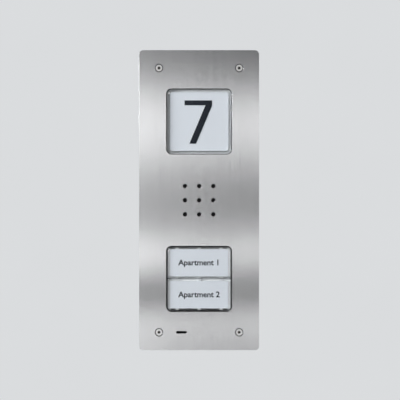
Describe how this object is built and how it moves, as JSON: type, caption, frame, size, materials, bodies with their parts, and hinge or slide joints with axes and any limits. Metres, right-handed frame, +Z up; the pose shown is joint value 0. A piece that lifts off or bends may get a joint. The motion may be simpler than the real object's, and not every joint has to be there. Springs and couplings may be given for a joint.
{
  "type": "door intercom panel",
  "caption": "Flush-mounted door intercom panel: brushed steel plate with a house-number window, speaker holes, call buttons with name cards and a microphone slot.",
  "frame": {"origin": "centre of the front plate's outline, in the plane of the wall that the plate's seal rests on", "axes": "+X to the right seen from the street, +Y into the wall, +Z up"},
  "size_m": [0.12, 0.0465, 0.3],
  "materials": {
    "brushed_steel": "fine vertical brushing",
    "plain_steel": "plain zinc-plated",
    "screw_steel": "turned stainless",
    "spring_steel": "drawn wire",
    "seal_rubber": "matte",
    "foam": "open foam",
    "box_plastic": "moulded, fine grain",
    "brass": "knurled, plain",
    "clear_plastic": "polished clear polycarbonate",
    "black_print": "printed film",
    "white_card": "smooth card",
    "opal_plastic": "grey-tinted opal, satin",
    "black_plastic": "moulded, fine grain",
    "grey_plastic": "moulded",
    "red_plastic": "moulded",
    "green_plastic": "moulded",
    "blue_plastic": "moulded",
    "ivory_plastic": "moulded",
    "chip_plastic": "moulded epoxy",
    "circuit_board": "solder mask",
    "led_body": "clear resin over white body",
    "black_fabric": "fine acoustic weave",
    "painted_basket": "black satin paint",
    "ferrite": "ground ferrite",
    "paper_cone": "pressed paper",
    "copper_wire": "enamelled winding",
    "aluminium": "drawn can",
    "lead_jacket": "round jacket"
  },
  "bodies": {
    "panel": {"front_plate": "brushed_steel", "weld_studs": "plain_steel", "stud_nuts": "plain_steel", "wall_gasket": "seal_rubber", "plate_screws": "screw_steel", "screw_seals": "seal_rubber", "back_box": "box_plastic", "box_inserts": "brass", "cable_grommet": "seal_rubber", "info_seal": "seal_rubber", "info_lens": "clear_plastic", "house_number": "black_print", "info_inlay": "white_card", "info_diffuser": "opal_plastic", "info_housing": "black_plastic", "info_led_board": "circuit_board", "info_leds": "led_body", "info_board_screws": "plain_steel", "button_seal": "seal_rubber", "button_frame": "black_plastic", "button_base": "black_plastic", "button_cover": "black_plastic", "button_cover_screws": "plain_steel", "upper_return_springs": "spring_steel", "upper_switch_body": "grey_plastic", "lower_return_springs": "spring_steel", "lower_switch_body": "grey_plastic", "switch_board": "circuit_board", "button_leds": "led_body", "speaker_mesh": "black_fabric", "speaker_gasket": "foam", "speaker_basket": "painted_basket", "speaker_magnet": "ferrite", "speaker_yoke": "plain_steel", "speaker_surround": "seal_rubber", "speech_housing": "black_plastic", "speech_board": "circuit_board", "speech_board_screws": "plain_steel", "board_parts": "chip_plastic", "terminal_block": "green_plastic", "terminal_screws": "plain_steel", "trimmer_body": "blue_plastic", "mic_gauze": "black_fabric", "mic_capsule": "aluminium", "mic_boot": "seal_rubber", "mic_holder": "black_plastic", "lead_connectors": "ivory_plastic", "internal_leads": "lead_jacket"},
    "upper_button": {"upper_button_cap": "clear_plastic", "upper_name_card": "white_card", "upper_button_carrier": "opal_plastic"},
    "lower_button": {"lower_button_cap": "clear_plastic", "lower_name_card": "white_card", "lower_button_carrier": "opal_plastic"},
    "upper_plunger": {"upper_switch_plunger": "red_plastic"},
    "lower_plunger": {"lower_switch_plunger": "red_plastic"},
    "speaker_diaphragm": {"speaker_cone": "paper_cone", "voice_coil": "copper_wire"},
    "volume_rotor": {"trimmer_rotor": "opal_plastic"}
  },
  "joints": [
    {"name": "upper_button_press", "type": "slide", "parent": "panel", "child": "upper_button", "axis": [0, 1, 0], "range_m": [0, 0.0012], "stiffness_N_per_m": 800, "springref_m": -0.001, "deforming": ["upper_return_springs"]},
    {"name": "lower_button_press", "type": "slide", "parent": "panel", "child": "lower_button", "axis": [0, 1, 0], "range_m": [0, 0.0012], "stiffness_N_per_m": 800, "springref_m": -0.001, "deforming": ["lower_return_springs"]},
    {"name": "upper_switch_travel", "type": "slide", "parent": "panel", "child": "upper_plunger", "axis": [0, 1, 0], "range_m": [0, 0.0012]},
    {"name": "lower_switch_travel", "type": "slide", "parent": "panel", "child": "lower_plunger", "axis": [0, 1, 0], "range_m": [0, 0.0012]},
    {"name": "speaker_stroke", "type": "slide", "parent": "panel", "child": "speaker_diaphragm", "axis": [0, 1, 0], "range_m": [-0.0004, 0.0004], "stiffness_N_per_m": 1500, "deforming": ["speaker_surround"]},
    {"name": "volume_turn", "type": "hinge", "parent": "panel", "child": "volume_rotor", "pos_m": [0.022, 0.0222, 0.014], "axis": [0, 1, 0], "range_deg": [-110, 110]}
  ],
  "couplings": [
    {"joint": "upper_switch_travel", "follows": "upper_button_press", "ratio": 1},
    {"joint": "lower_switch_travel", "follows": "lower_button_press", "ratio": 1}
  ]
}
